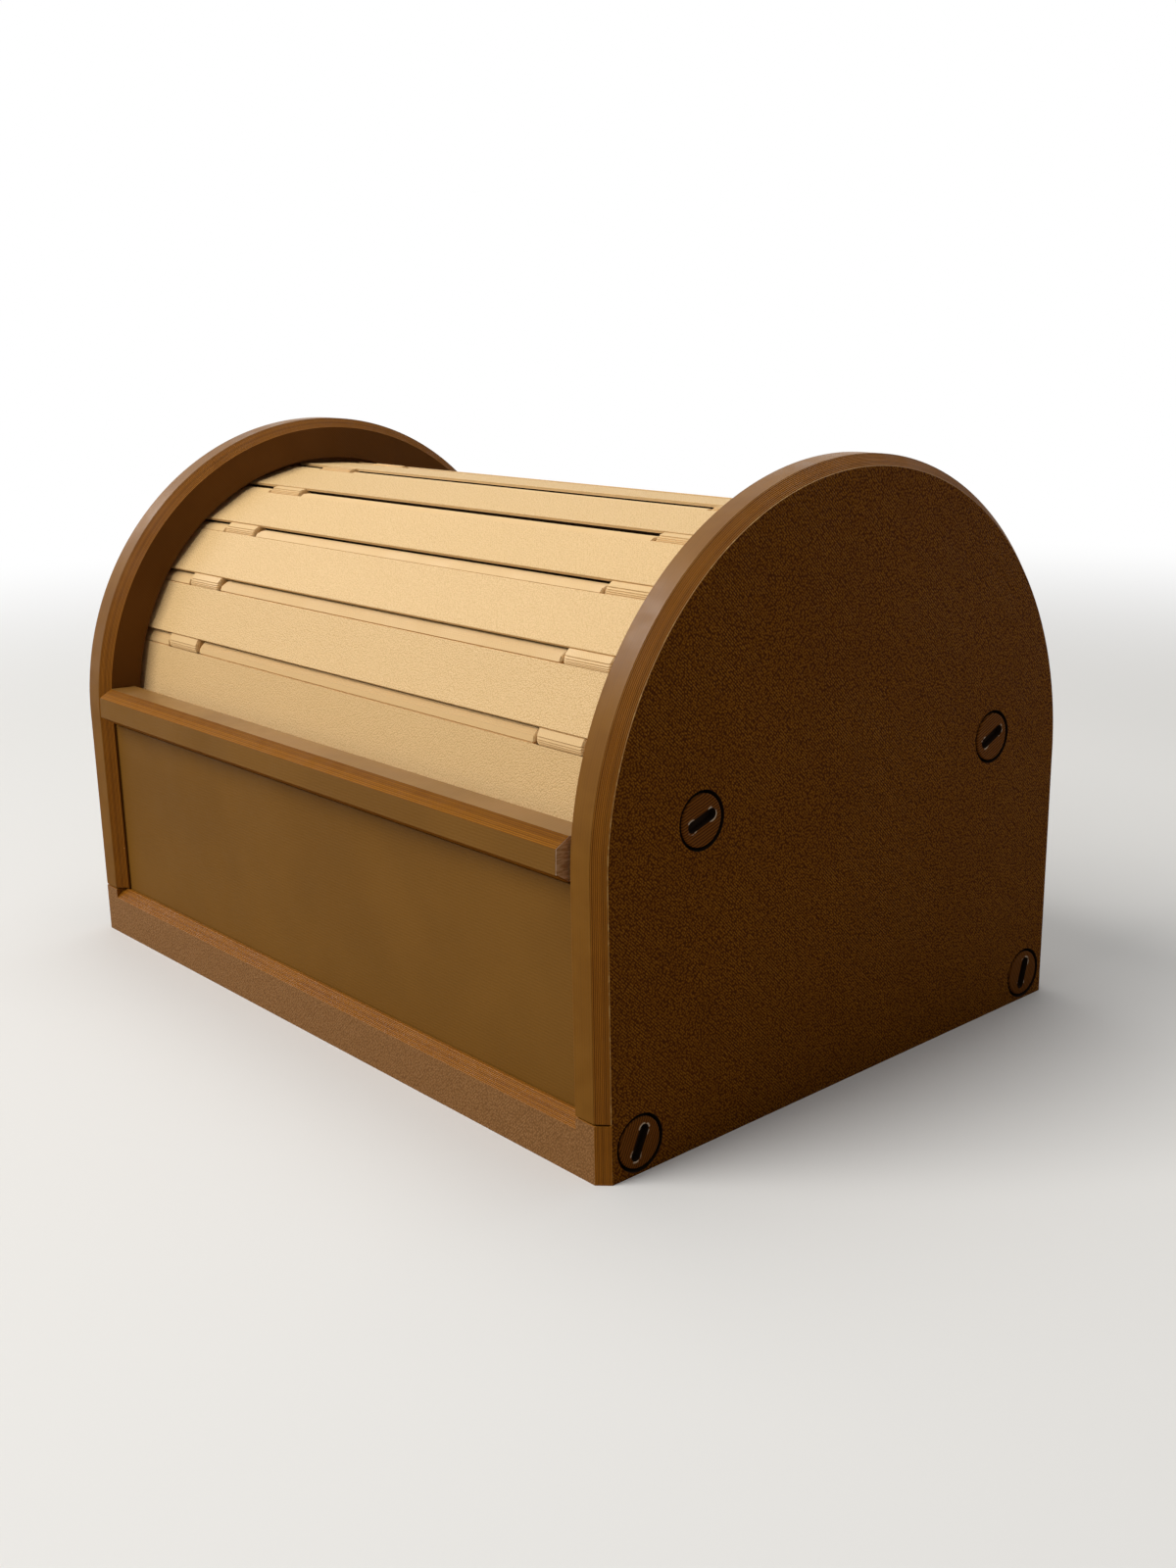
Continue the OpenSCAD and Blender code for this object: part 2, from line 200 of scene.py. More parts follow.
# Screws: places in Y and Z, and the turn of each slot from +Y towards +Z
HEAD_R = 4.4
HEAD_T = 2.9
HEAD_ROUND = 0.3
RECESS_R = 5.0
SHANK_R = 2.9
HOLE_R = SHANK_R + 0.3
SCREW_L = PANEL_T + 14.0
TIP = 0.5
SCREW_POINTS = 96
RECESS_POINTS = 48
SLOT_L = 6.4
SLOT_W = 2.0
SLOT_D = 1.3
UPPER_Y = 38.0
UPPER_Z = ARCH_Z + 6.0
LOWER_Y = ARCH_R - CHAMFER - 6.0
LOWER_Z = RAIL_H / 2 + 0.3
SCREWS = {
    "left_upper_screws": (-1, UPPER_Y, UPPER_Z, (-28, 70)),
    "left_lower_screws": (-1, LOWER_Y, LOWER_Z, (15, -50)),
    "right_upper_screws": (1, UPPER_Y, UPPER_Z, (18, 24)),
    "right_lower_screws": (1, LOWER_Y, LOWER_Z, (65, 74)),
}


# ---- Camera, floor and light ----

def add_camera():
    """A camera that looks along azimuth and elevation, turned about its line of sight by the roll."""
    az, el, roll = (math.radians(a) for a in (CAMERA_AZIMUTH, CAMERA_ELEVATION, CAMERA_ROLL))
    look = Vector((-math.sin(az) * math.cos(el), math.cos(az) * math.cos(el), -math.sin(el)))
    level_right = look.cross(Vector((0, 0, 1))).normalized()
    level_up = level_right.cross(look)
    right = math.cos(roll) * level_right + math.sin(roll) * level_up
    up = math.cos(roll) * level_up - math.sin(roll) * level_right
    data = bpy.data.cameras.new("photo_camera")
    data.sensor_fit = "VERTICAL"
    data.sensor_height = SENSOR_H
    data.lens = FOCAL_PX * SENSOR_H / IMAGE_H
    data.clip_start = 0.01
    camera = bpy.data.objects.new("photo_camera", data)
    facing = Matrix((right, up, -look)).transposed().to_4x4()
    camera.matrix_world = Matrix.Translation(Vector(CAMERA_AT) * MM) @ facing
    bpy.context.scene.collection.objects.link(camera)
    bpy.context.scene.camera = camera


def add_light(name):
    """A square soft light of the LIGHTS table, facing the middle of the box."""
    at, size, power, colour, on_matte = LIGHTS[name]
    data = bpy.data.lights.new(name, "AREA")
    data.shape = "SQUARE"
    data.size = size
    data.energy = power
    data.color = colour
    light = bpy.data.objects.new(name, data)
    light.location = at
    light.rotation_euler = (Vector(AIM) - Vector(at)).to_track_quat("-Z", "Y").to_euler()
    light.visible_diffuse = on_matte
    bpy.context.scene.collection.objects.link(light)


def add_floor():
    """A pale round floor whose rim fades to the white of the background."""
    turn = np.linspace(0, 2 * np.pi, FLOOR_SIDES, endpoint=False)
    rim = np.stack([FLOOR_REACH * np.cos(turn), FLOOR_REACH * np.sin(turn), 0 * turn], 1)
    mesh = bpy.data.meshes.new("floor")
    mesh.from_pydata(rim.tolist(), [], [list(range(FLOOR_SIDES))])
    floor = bpy.data.objects.new("floor", mesh)
    bpy.context.scene.collection.objects.link(floor)
    paint = Paint("pale_floor")
    rays = paint.new("ShaderNodeLightPath")
    seen = rays.outputs["Is Camera Ray"]
    matte = paint.new("ShaderNodeBsdfDiffuse")
    paint.link(paint.blend_colours(seen, FLOOR_BOUNCE, FLOOR_SEEN), matte, "Color")
    white = paint.new("ShaderNodeEmission", Color=(1, 1, 1, 1), Strength=1.0)
    distance = paint.new("ShaderNodeVectorMath", operation="LENGTH")
    paint.link(paint.place, distance, 0)
    fade = paint.span(distance.outputs["Value"], *FLOOR_FADE, 0, 1)
    clear = paint.maths("MAXIMUM", seen, rays.outputs["Is Glossy Ray"])
    mix = paint.new("ShaderNodeMixShader")
    paint.link(paint.maths("MULTIPLY", fade, clear), mix, 0)
    paint.link(matte, mix, 1)
    paint.link(white, mix, 2)
    paint.link(mix, paint.output, "Surface")
    mesh.materials.append(paint.material)


def light_world():
    """A plain grey sky that lights the object, and that the camera and reflections see as white."""
    world = bpy.data.worlds.new("plain_sky")
    world.use_nodes = True
    tree = world.node_tree
    sky = tree.nodes["Background"]
    sky.inputs["Color"].default_value = (*SKY, 1)
    sky.inputs["Strength"].default_value = SKY_STRENGTH
    white = tree.nodes.new("ShaderNodeBackground")
    white.inputs["Color"].default_value = (1, 1, 1, 1)
    rays = tree.nodes.new("ShaderNodeLightPath")
    mix = tree.nodes.new("ShaderNodeMixShader")
    either = [tree.nodes.new("ShaderNodeMath") for _ in range(2)]
    for node in either:
        node.operation = "MAXIMUM"
    tree.links.new(rays.outputs["Is Camera Ray"], either[0].inputs[0])
    tree.links.new(rays.outputs["Is Glossy Ray"], either[0].inputs[1])
    tree.links.new(either[0].outputs[0], either[1].inputs[0])
    tree.links.new(rays.outputs["Is Transmission Ray"], either[1].inputs[1])
    tree.links.new(either[1].outputs[0], mix.inputs[0])
    tree.links.new(sky.outputs[0], mix.inputs[1])
    tree.links.new(white.outputs[0], mix.inputs[2])
    tree.links.new(mix.outputs[0], tree.nodes["World Output"].inputs["Surface"])
    bpy.context.scene.world = world


# ---- Materials ----

class Paint:
    """A material's node tree, with short ways to add and join its nodes."""

    def __init__(self, name):
        self.material = bpy.data.materials.new(name)
        self.material.use_nodes = True
        self.tree = self.material.node_tree
        self.tree.nodes.clear()
        self.output = self.new("ShaderNodeOutputMaterial")
        self.place = self.new("ShaderNodeTexCoord").outputs["Object"]

    def new(self, kind, operation=None, **values):
        """A node of a kind, with its sockets' values set by name (underscores for spaces)."""
        made = self.tree.nodes.new(kind)
        if operation:
            made.operation = operation
        for key, value in values.items():
            made.inputs[key.replace("_", " ")].default_value = value
        return made

    def link(self, source, target, socket):
        """Joins a node's first output, or a given output, to a socket."""
        plug = source if isinstance(source, bpy.types.NodeSocket) else source.outputs[0]
        self.tree.links.new(plug, target.inputs[socket])

    def maths(self, operation, a, b=None, c=None):
        """A Math node over numbers or outputs."""
        made = self.new("ShaderNodeMath", operation=operation)
        for i, value in enumerate((a, b, c)):
            if value is None:
                continue
            if isinstance(value, (int, float)):
                made.inputs[i].default_value = value
            else:
                self.link(value, made, i)
        return made.outputs[0]

    def span(self, source, low, high, to_low, to_high):
        """Maps a range of a value onto another range, clamped and smoothed."""
        made = self.new("ShaderNodeMapRange")
        made.interpolation_type = "SMOOTHSTEP"
        for key, value in (("From Min", low), ("From Max", high), ("To Min", to_low), ("To Max", to_high)):
            made.inputs[key].default_value = value
        self.link(source, made, "Value")
        return made.outputs[0]

    def wave(self, phase, shape="SINE"):
        """A sine or cosine of a phase, brought to the range from 0 to 1."""
        return self.maths("MULTIPLY_ADD", self.maths(shape, phase), 0.5, 0.5)

    def attribute(self, name):
        """The node that reads a value stored with the mesh."""
        made = self.new("ShaderNodeAttribute")
        made.attribute_name = name
        return made

    def scaled_place(self, factors):
        """Object coordinates times a factor for each axis."""
        made = self.new("ShaderNodeVectorMath", operation="MULTIPLY")
        self.link(self.place, made, 0)
        made.inputs[1].default_value = factors
        return made

    def noise(self, size_mm, detail=2.0, stretch=(1, 1, 1)):
        """Noise whose lumps measure about size_mm, stretched along an axis by a factor."""
        made = self.new("ShaderNodeTexNoise", Scale=1.0, Detail=detail, Roughness=0.5)
        self.link(self.scaled_place([1 / (size_mm * MM * s) for s in stretch]), made, "Vector")
        return made.outputs[0]

    def patches(self, size_mm, detail, low=0, high=1, stretch=(1, 1, 1)):
        """Noise whose usual range is spread from low to high, so that it stands in plain patches."""
        return self.span(self.noise(size_mm, detail, stretch), 0.35, 0.65, low, high)

    def laid_lines(self, along):
        """A wave from 0 to 1 across the lines of a last layer, which wander a little: the sine of the
        place along a direction, at LINE from crest to crest, with some noise added to its phase."""
        made = self.new("ShaderNodeVectorMath", operation="DOT_PRODUCT")
        self.link(self.place, made, 0)
        made.inputs[1].default_value = [2 * math.pi * a / (LINE * MM) for a in along]
        wander = self.maths("MULTIPLY", self.noise(6.0), 0.5)
        return self.wave(self.maths("ADD", made.outputs["Value"], wander))

    def seams(self):
        """A wave with its crests at the seams between layers, from the build_height attribute in mm."""
        height = self.attribute("build_height").outputs["Fac"]
        return self.wave(self.maths("MULTIPLY", height, 2 * math.pi / LAYER), "COSINE")

    def layer_drift(self):
        """A smooth random value from 0 to 1 that changes about every second layer."""
        height = self.attribute("build_height").outputs["Fac"]
        bands = self.tree.nodes.new("ShaderNodeTexNoise")
        bands.noise_dimensions = "1D"
        bands.inputs["Scale"].default_value = 1 / (2.1 * LAYER)
        bands.inputs["Detail"].default_value = 1.0
        self.link(height, bands, "W")
        return self.span(bands.outputs[0], 0.38, 0.62, 0, 1)

    def specks(self, spacing_mm, share):
        """Sparse pale dots: the cores of a few cells of a Voronoi pattern."""
        cells = self.new("ShaderNodeTexVoronoi", Scale=1.0)
        self.link(self.scaled_place([1 / (spacing_mm * MM)] * 3), cells, "Vector")
        core = self.span(cells.outputs["Distance"], 0.05, 0.09, 1, 0)
        parts = self.new("ShaderNodeSeparateColor")
        self.link(cells.outputs["Color"], parts, 0)
        return self.maths("MULTIPLY", core, self.maths("LESS_THAN", parts.outputs[0], share))

    def blend_colours(self, factor, first, second):
        """Mixes two colours or outputs by a factor."""
        made = self.new("ShaderNodeMix")
        made.data_type = "RGBA"
        for index, value in ((0, factor), (6, first), (7, second)):
            if isinstance(value, (int, float)):
                made.inputs[index].default_value = value
            elif isinstance(value, tuple):
                made.inputs[index].default_value = (*value, 1)
            else:
                self.link(value, made, index)
        return made.outputs[2]

    def plastic(self, colour, roughness, height, depth_mm, gloss=0.4):
        """Joins colour, roughness and a height of depth_mm to a plastic shader and the output."""
        shader = self.new("ShaderNodeBsdfPrincipled")
        shader.inputs["Specular IOR Level"].default_value = gloss
        self.link(colour, shader, "Base Color")
        self.link(roughness, shader, "Roughness")
        bump = self.new("ShaderNodeBump", Strength=1.0, Distance=depth_mm * MM)
        self.link(height, bump, "Height")
        self.link(bump, shader, "Normal")
        self.link(shader, self.output, "Surface")
        return self.material


def plate_face(name, colours, pebble_mm, depth_mm, weave, rough, gloss):
    """A face printed on a grained plate: small even pebbles, crossed in patches by the lines of the first
    layer by a strength weave, over the plate_place attribute, which is in mm along the plate."""
    paint = Paint(name)
    dark, mid, light = colours
    place = paint.attribute("plate_place").outputs["Vector"]
    scaled = paint.new("ShaderNodeVectorMath", operation="SCALE", Scale=1 / pebble_mm)
    paint.link(place, scaled, 0)
    cells = paint.new("ShaderNodeTexVoronoi", Scale=1.0, Randomness=0.8)
    cells.voronoi_dimensions = "2D"
    paint.link(scaled, cells, "Vector")
    pebbles = paint.maths("SUBTRACT", 1.0, cells.outputs["Distance"])
    parts = paint.new("ShaderNodeSeparateXYZ")
    paint.link(place, parts, 0)
    phase = paint.maths("MULTIPLY_ADD", parts.outputs[0], 2 * math.pi / LINE, paint.noise(3.0))
    strength = paint.patches(18.0, 2, 0.3 * weave, weave)
    grain = paint.maths("MULTIPLY_ADD", paint.maths("SINE", phase), strength, pebbles)
    mottled = paint.maths("MULTIPLY_ADD", paint.noise(1.1, detail=1), 0.30, grain)
    tone = paint.blend_colours(paint.span(mottled, 0.50, 0.85, 0, 1), dark, mid)
    tone = paint.blend_colours(paint.span(mottled, 0.80, 1.15, 0, 1), tone, light)
    tone = paint.blend_colours(paint.patches(30.0, 2, 0, 0.10), tone, dark)
    roughness = paint.span(pebbles, 0.3, 0.9, rough + 0.08, rough - 0.06)
    return paint.plastic(tone, roughness, grain, depth_mm, gloss)


def layered_side(name, colours, depth_mm, rough, gloss, seam, speck):
    """A wall across the layers: dark seams and uneven layers by a strength seam, patches where the tone of
    the plastic drifts, and pale specks in a share speck of their cells."""
    paint = Paint(name)
    dark, mid, light = colours
    seams = paint.seams()
    brighter = tuple(1.45 * c for c in light)
    scuffed = tuple(min(1, 3.0 * c + 0.10) for c in light)
    tone = paint.blend_colours(paint.patches(7.0, 3), mid, light)
    bands = paint.maths("MULTIPLY", paint.layer_drift(), min(1, 2.8 * seam))
    tone = paint.blend_colours(bands, tone, brighter)
    tone = paint.blend_colours(paint.maths("MULTIPLY", seams, min(1, 1.8 * seam)), tone, dark)
    tone = paint.blend_colours(paint.specks(2.3, speck), tone, scuffed)
    height = paint.maths("SUBTRACT", paint.maths("MULTIPLY", paint.noise(0.9, detail=3), 0.8), seams)
    roughness = paint.span(paint.noise(4.0, detail=3), 0.3, 0.7, rough - 0.05, rough + 0.07)
    return paint.plastic(tone, roughness, height, depth_mm, gloss)


def smooth_top(name, colours, along, depth_mm, rough, gloss, streak=0.08):
    """A last layer: flat lines of plastic laid side by side, slightly uneven in tone and shine."""
    paint = Paint(name)
    dark, mid, light = colours
    lines = paint.laid_lines(along)
    tone = paint.blend_colours(paint.patches(26.0, 2), mid, dark)
    tone = paint.blend_colours(paint.maths("MULTIPLY", lines, streak), tone, light)
    height = paint.maths("ADD", lines, paint.maths("MULTIPLY", paint.noise(1.3, detail=3), 0.7))
    roughness = paint.span(paint.noise(9.0, detail=3), 0.3, 0.7, rough - 0.04, rough + 0.08)
    return paint.plastic(tone, roughness, height, depth_mm, gloss)


def pale_edge_coat(name, pale_tone, base_tone, low, high):
    """Plastic paled along an edge, where a noise lies above a range from low to high: wear rubbed pale on the
    pull bar's ends, and a painted highlight along the side panels' outer arris.
    """
    paint = Paint(name)
    pale_share = paint.span(paint.noise(1.4, detail=3), low, high, 0, 1)
    tone = paint.blend_colours(pale_share, base_tone, pale_tone)
    return paint.plastic(tone, paint.span(pale_share, 0, 1, 0.5, 0.7), paint.noise(0.4, detail=2), 0.03)


def scuffed_end():
    """A sawn-looking end of layers, dulled to a dusty grey brown."""
    paint = Paint("scuffed_end")
    dust = paint.patches(0.8, 3, stretch=(1, 2.5, 0.5))
    tone = paint.blend_colours(dust, (0.42, 0.235, 0.100), (0.66, 0.450, 0.260))
    height = paint.maths("SUBTRACT", dust, paint.seams())
    return paint.plastic(tone, paint.span(dust, 0, 1, 0.55, 0.75), height, 0.03, 0.3)


def screw_face():
    """A screw head: hatched plastic, rubbed pale in a rim round each end of the slot. The UV map gives the
    place along and across the slot in mm."""
    paint = Paint("screw_face")
    spot = paint.new("ShaderNodeUVMap")
    spot.uv_map = "slot_mm"
    parts = paint.new("ShaderNodeSeparateXYZ")
    paint.link(spot, parts, 0)
    along = paint.maths("SUBTRACT", paint.maths("ABSOLUTE", parts.outputs[0]), (SLOT_L - SLOT_W) / 2)
    across = parts.outputs[1]
    squares = [paint.maths("MULTIPLY", part, part) for part in (along, across)]
    away = paint.maths("SQRT", paint.maths("ADD", *squares))
    near = paint.maths("MULTIPLY", paint.span(away, 0.80, 0.92, 0, 1), paint.span(away, 1.05, 1.40, 1, 0))
    pale_share = paint.maths("MULTIPLY", near, paint.span(paint.noise(1.7, detail=2), 0.46, 0.54, 0, 1))
    phase = paint.maths("MULTIPLY", across, 2 * math.pi / 0.5)
    lines = paint.wave(paint.maths("MULTIPLY_ADD", paint.noise(2.5), 5.0, phase))
    tone = paint.blend_colours(lines, BROWN_DARK, HEAD_LIGHT)
    tone = paint.blend_colours(paint.maths("MULTIPLY", pale_share, 0.9), tone, (0.80, 0.66, 0.52))
    height = paint.maths("ADD", lines, paint.noise(0.55, detail=2))
    return paint.plastic(tone, paint.span(pale_share, 0, 1, 0.5, 0.65), height, 0.07, 0.05)


def shaded_hollow(name, dark, light):
    """The inside of a recess or a hinge, painted near black as shade and mottled a little by noise."""
    paint = Paint(name)
    painted_shade_mottle = paint.noise(1.0)
    tone = paint.blend_colours(painted_shade_mottle, dark, light)
    return paint.plastic(tone, paint.span(painted_shade_mottle, 0, 1, 0.7, 0.9), paint.noise(0.5), 0.03, 0.1)


BROWN_DARK = (0.080, 0.021, 0.001)
BROWN_MID = (0.187, 0.060, 0.002)
BROWN_LIGHT = (0.340, 0.140, 0.010)
HEAD_LIGHT = (0.215, 0.074, 0.008)
LAYER_DARK = (0.115, 0.036, 0.001)
LAYER_MID = (0.222, 0.076, 0.003)
LAYER_LIGHT = (0.262, 0.096, 0.006)
EDGE_DARK = (0.110, 0.040, 0.003)
EDGE_MID = (0.171, 0.068, 0.005)
EDGE_LIGHT = (0.196, 0.082, 0.008)
BAR_DARK = (0.090, 0.028, 0.001)
BAR_MID = (0.176, 0.060, 0.002)
BAR_LIGHT = (0.208, 0.076, 0.003)
TOP_DARK = (0.165, 0.072, 0.007)
TOP_MID = (0.185, 0.082, 0.009)
TOP_LIGHT = (0.235, 0.110, 0.020)
# Rail face browns: a lighter, greyer copy of the side panels' plate browns, painted sheen
RAIL_DARK = (0.185, 0.080, 0.020)
RAIL_MID = (0.245, 0.112, 0.032)
RAIL_LIGHT = (0.35, 0.180, 0.070)
# Darker browns for faces inside the box: painted shade
SHADED_INNER_DARK = (0.105, 0.038, 0.004)
SHADED_INNER_MID = (0.130, 0.048, 0.006)
TAN_SEAM = (0.50, 0.310, 0.125)
TAN_DARK = (0.630, 0.415, 0.180)
TAN_MID = (0.690, 0.462, 0.212)
TAN_LIGHT = (0.760, 0.530, 0.262)

# Directions across the lines of a last layer
SIDEWAYS = (0.0, 0.707, 0.707)
ASLANT = (0.707, 0.5, 0.5)
INNER_ASLANT = (0.707, 0.4, 0.58)

# Coats of the case and the pull bar, in the order of the names below them
# Near-black painted shade for the screw recesses, the notches over the rails, and the sides of the screws'
# heads and slots
PAINTED_SHADE = shaded_hollow("painted_shade_mottle", (0.008, 0.004, 0.002), (0.022, 0.010, 0.004))
CASE_COATS = [
    plate_face("brown_plate", (BROWN_DARK, BROWN_MID, BROWN_LIGHT),
               pebble_mm=0.46, depth_mm=0.06, weave=0.22, rough=0.50, gloss=0.04),
    layered_side("brown_layers", (LAYER_DARK, LAYER_MID, LAYER_LIGHT),
                 depth_mm=0.012, rough=0.48, gloss=0.17, seam=0.25, speck=0.05),
    smooth_top("brown_top", (TOP_DARK, TOP_MID, TOP_LIGHT), SIDEWAYS, depth_mm=0.012, rough=0.52, gloss=0.18),
    pale_edge_coat("pale_edge_coat", (0.95, 0.85, 0.76), (0.50, 0.34, 0.22), low=0.22, high=0.40),
    # The base rails' faces: the plate finish in a lighter brown, painted sheen
    plate_face("rail_plate_painted_sheen", (RAIL_DARK, RAIL_MID, RAIL_LIGHT),
               pebble_mm=0.46, depth_mm=0.05, weave=0.10, rough=0.48, gloss=0.30),
    scuffed_end(),
    layered_side("brown_edge", (EDGE_DARK, EDGE_MID, EDGE_LIGHT),
                 depth_mm=0.003, rough=0.36, gloss=0.14, seam=0.05, speck=0.03),
    # A pale band along the side panels' outer arris: a painted highlight where the edge catches the light
    pale_edge_coat("arris_painted_highlight", (0.38, 0.21, 0.06), (0.25, 0.108, 0.012), low=0.50, high=0.62),
    # The pull bar's top and underside: a lighter brown than the other tops, painted sheen
    smooth_top("bar_top_painted_sheen", (TOP_MID, TOP_LIGHT, TOP_LIGHT), SIDEWAYS, depth_mm=0.010, rough=0.36, gloss=0.80),
    # The side panels' inner faces: a darker brown, painted shade where they face away from the light
    smooth_top("brown_inside_painted_shade", (SHADED_INNER_DARK, SHADED_INNER_MID, EDGE_MID), SIDEWAYS,
               depth_mm=0.012, rough=0.52, gloss=0.10),
    layered_side("bar_layers", (BAR_DARK, BAR_MID, BAR_LIGHT),
                 depth_mm=0.010, rough=0.52, gloss=0.05, seam=0.35, speck=0.04),
    PAINTED_SHADE,
]
PLATE, LAYERS, TOP, RUBBED, SHEEN_RAIL_PLATE, SCUFFED = range(6)
EDGE, HIGHLIGHT_ARRIS, SHEEN_BAR_TOP, SHADED_INSIDE, BAR_LAYERS, SHADED_RECESS = range(6, 12)

# Coats of the slats, whose first three are numbered as those of the case
SLAT_COATS = [
    plate_face("tan_plate", (TAN_DARK, TAN_MID, TAN_LIGHT),
               pebble_mm=0.37, depth_mm=0.08, weave=0.05, rough=0.60, gloss=0.30),
    layered_side("tan_layers", (TAN_SEAM, TAN_MID, TAN_MID),
                 depth_mm=0.012, rough=0.58, gloss=0.30, seam=0.5, speck=0.0),
    smooth_top("tan_top", (TAN_MID, TAN_MID, TAN_LIGHT), ASLANT, depth_mm=0.012, rough=0.58, gloss=0.30),
    # Sockets and pockets of the hinges: painted near black as shade
    shaded_hollow("hinge_painted_shade", (0.012, 0.006, 0.002), (0.035, 0.018, 0.006)),
]
SHADED_HOLLOW = 3
# Floor panel, inner front wall and liner: a darker brown, painted shade inside the box
SHADED_INNER_COAT = smooth_top("inner_top_painted_shade", (SHADED_INNER_DARK, SHADED_INNER_MID, TOP_MID), INNER_ASLANT,
                        depth_mm=0.03, rough=0.55, gloss=0.2, streak=0.45)
# The screws' second coat is the near-black painted shade
SCREW_COATS = [screw_face(), PAINTED_SHADE]
HEAD, SHADED_SIDE = range(2)


# ---- Shapes ----

def make_piece(name, points, faces, coats, coat_of_face):
    """A mesh object of points in mm, its faces turned outwards, with a coat number for each face."""
    mesh = bpy.data.meshes.new(name)
    mesh.from_pydata((np.asarray(points) * MM).tolist(), [], faces)
    mesh.polygons.foreach_set("material_index", np.asarray(coat_of_face, np.int32))
    for coat in coats:
        mesh.materials.append(coat)
    shell = bmesh.new()
    shell.from_mesh(mesh)
    bmesh.ops.remove_doubles(shell, verts=shell.verts, dist=1e-7)
    bmesh.ops.recalc_face_normals(shell, faces=shell.faces)
    shell.to_mesh(mesh)
    shell.free()
    piece = bpy.data.objects.new(name, mesh)
    bpy.context.scene.collection.objects.link(piece)
    return piece


def mesh_points(mesh):
    """A mesh's points in mm."""
    points = np.empty(len(mesh.vertices) * 3, np.float32)
    mesh.vertices.foreach_get("co", points)
    return points.reshape(-1, 3) / MM


def skin(name, rings, coats, side=LAYERS, first=LAYERS, last=LAYERS):
    """A closed surface through rings[level, point]: quads join each ring to the next, and one face closes
    each end. side is the coat of the quads, as one number or as an array over levels and points."""
    rings = np.asarray(rings, float)
    levels, count = rings.shape[:2]
    index = np.arange(levels * count).reshape(levels, count)
    below, above = index[:-1], index[1:]
    quads = np.stack([below, np.roll(below, -1, 1), np.roll(above, -1, 1), above], -1).reshape(-1, 4)
    faces = quads.tolist() + [index[0][::-1].tolist(), index[-1].tolist()]
    painted = np.broadcast_to(side, (levels - 1, count)).reshape(-1).tolist() + [first, last]
    return make_piece(name, rings.reshape(-1, 3), faces, coats, painted)


def along_x(outline, stations):
    """Rings of an outline in Y and Z, or in r and t, repeated at each X."""
    outline = np.asarray(outline, float)
    xs = np.asarray(stations, float)
    rings = np.empty((len(xs), len(outline), 3))
    rings[:, :, 0] = xs[:, None]
    rings[:, :, 1:] = outline
    return rings


def at_x(outline, x):
    """One ring of an outline, at one X."""
    return along_x(outline, [x])[0]


def on_track(profile, angle):
    """Y and Z of profile points in r and t, at an angle a of the track from the front upwards:
    y = -r cos a + t sin a, z = r sin a + t cos a, counted from the arch's centre."""
    r, t = np.asarray(profile, float).T
    a = math.radians(angle)
    return np.stack([-r * math.cos(a) + t * math.sin(a), ARCH_Z + r * math.sin(a) + t * math.cos(a)], 1)


def arc(centre, radius, start, end, count):
    """Points of an arc from one angle to another, in degrees from the first axis."""
    turn = np.radians(np.linspace(start, end, count))
    return np.stack([centre[0] + radius * np.cos(turn), centre[1] + radius * np.sin(turn)], 1)


def circle(centre, radius, count):
    """Points all round a circle."""
    return arc(centre, radius, 0, 360 - 360 / count, count)


def layered(edges, runs, inward, lean=0.0):
    """Profile of a stack of layers: each bulges out to its run, leans by a share of the step to the next,
    and pulls back by GROOVE at both edges. Gives points of (level, run)."""
    low, high = np.asarray(edges[:-1]), np.asarray(edges[1:])
    middle = np.asarray(runs, float)
    step = np.gradient(middle)
    share = np.array([0.05, 0.28, 0.72, 0.95])
    pulled_back = np.array([1, 0, 0, 1])
    level = low[:, None] + share * (high - low)[:, None]
    run = middle[:, None] + lean * step[:, None] * (share - 0.5) + inward * GROOVE * pulled_back
    return np.stack([level, run], -1).reshape(-1, 2)


def slope(start, end, inward, lean=0.5):
    """A straight slope cut into layers: start and end are (level, run) points."""
    count = max(1, round(abs(end[0] - start[0]) / LAYER))
    edges = np.linspace(start[0], end[0], count + 1)
    share = (np.arange(count) + 0.5) / count
    return layered(edges, start[1] + share * (end[1] - start[1]), inward, lean)


def combine(piece, others, operation):
    """Cuts the others out of a piece, or joins them to it, and bins them."""
    for other in others:
        step = piece.modifiers.new(operation, "BOOLEAN")
        step.object = other
        step.operation = operation
        step.solver = "EXACT"
    seen = bpy.context.evaluated_depsgraph_get()
    seen.update()
    result = bpy.data.meshes.new_from_object(piece.evaluated_get(seen))
    piece.modifiers.clear()
    piece.data = result
    for other in others:
        bpy.data.objects.remove(other)


def finish_piece(piece, build_axis, seam=0.0):
    """Smooths all but sharp edges, and stores each point's height in mm along the way it was printed,
    counted from a seam between two layers, and its place in mm along two diagonals of the plate."""
    mesh = piece.data
    mesh.shade_smooth()
    mesh.set_sharp_from_angle(angle=math.radians(SHARP_ANGLE))
    points = mesh_points(mesh)
    height = points @ np.asarray(build_axis, np.float32) - seam
    stored = mesh.attributes.new("build_height", "FLOAT", "POINT")
    stored.data.foreach_set("value", height.astype(np.float32))
    along = np.array((1.0, 0, 0) if abs(build_axis[0]) < 0.5 else (0, 1.0, 0))
    beside = np.cross(build_axis, along)
    diagonals = np.stack([along + beside, along - beside, 0 * along], 1) / math.sqrt(2)
    stored = mesh.attributes.new("plate_place", "FLOAT_VECTOR", "POINT")
    stored.data.foreach_set("vector", (points @ diagonals).astype(np.float32).reshape(-1))


def install(piece, node, body):
    """Puts a finished piece in a CAD node's place."""
    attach(piece, body)
    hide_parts(node)


def block(name, low, high, coat=LAYERS):
    """A plain box between two corners, used to cut or to join."""
    (x0, y0, z0), (x1, y1, z1) = low, high
    outline = [(y0, z0), (y1, z0), (y1, z1), (y0, z1)]
    return skin(name, along_x(outline, (x0, x1)), CASE_COATS, coat, coat, coat)


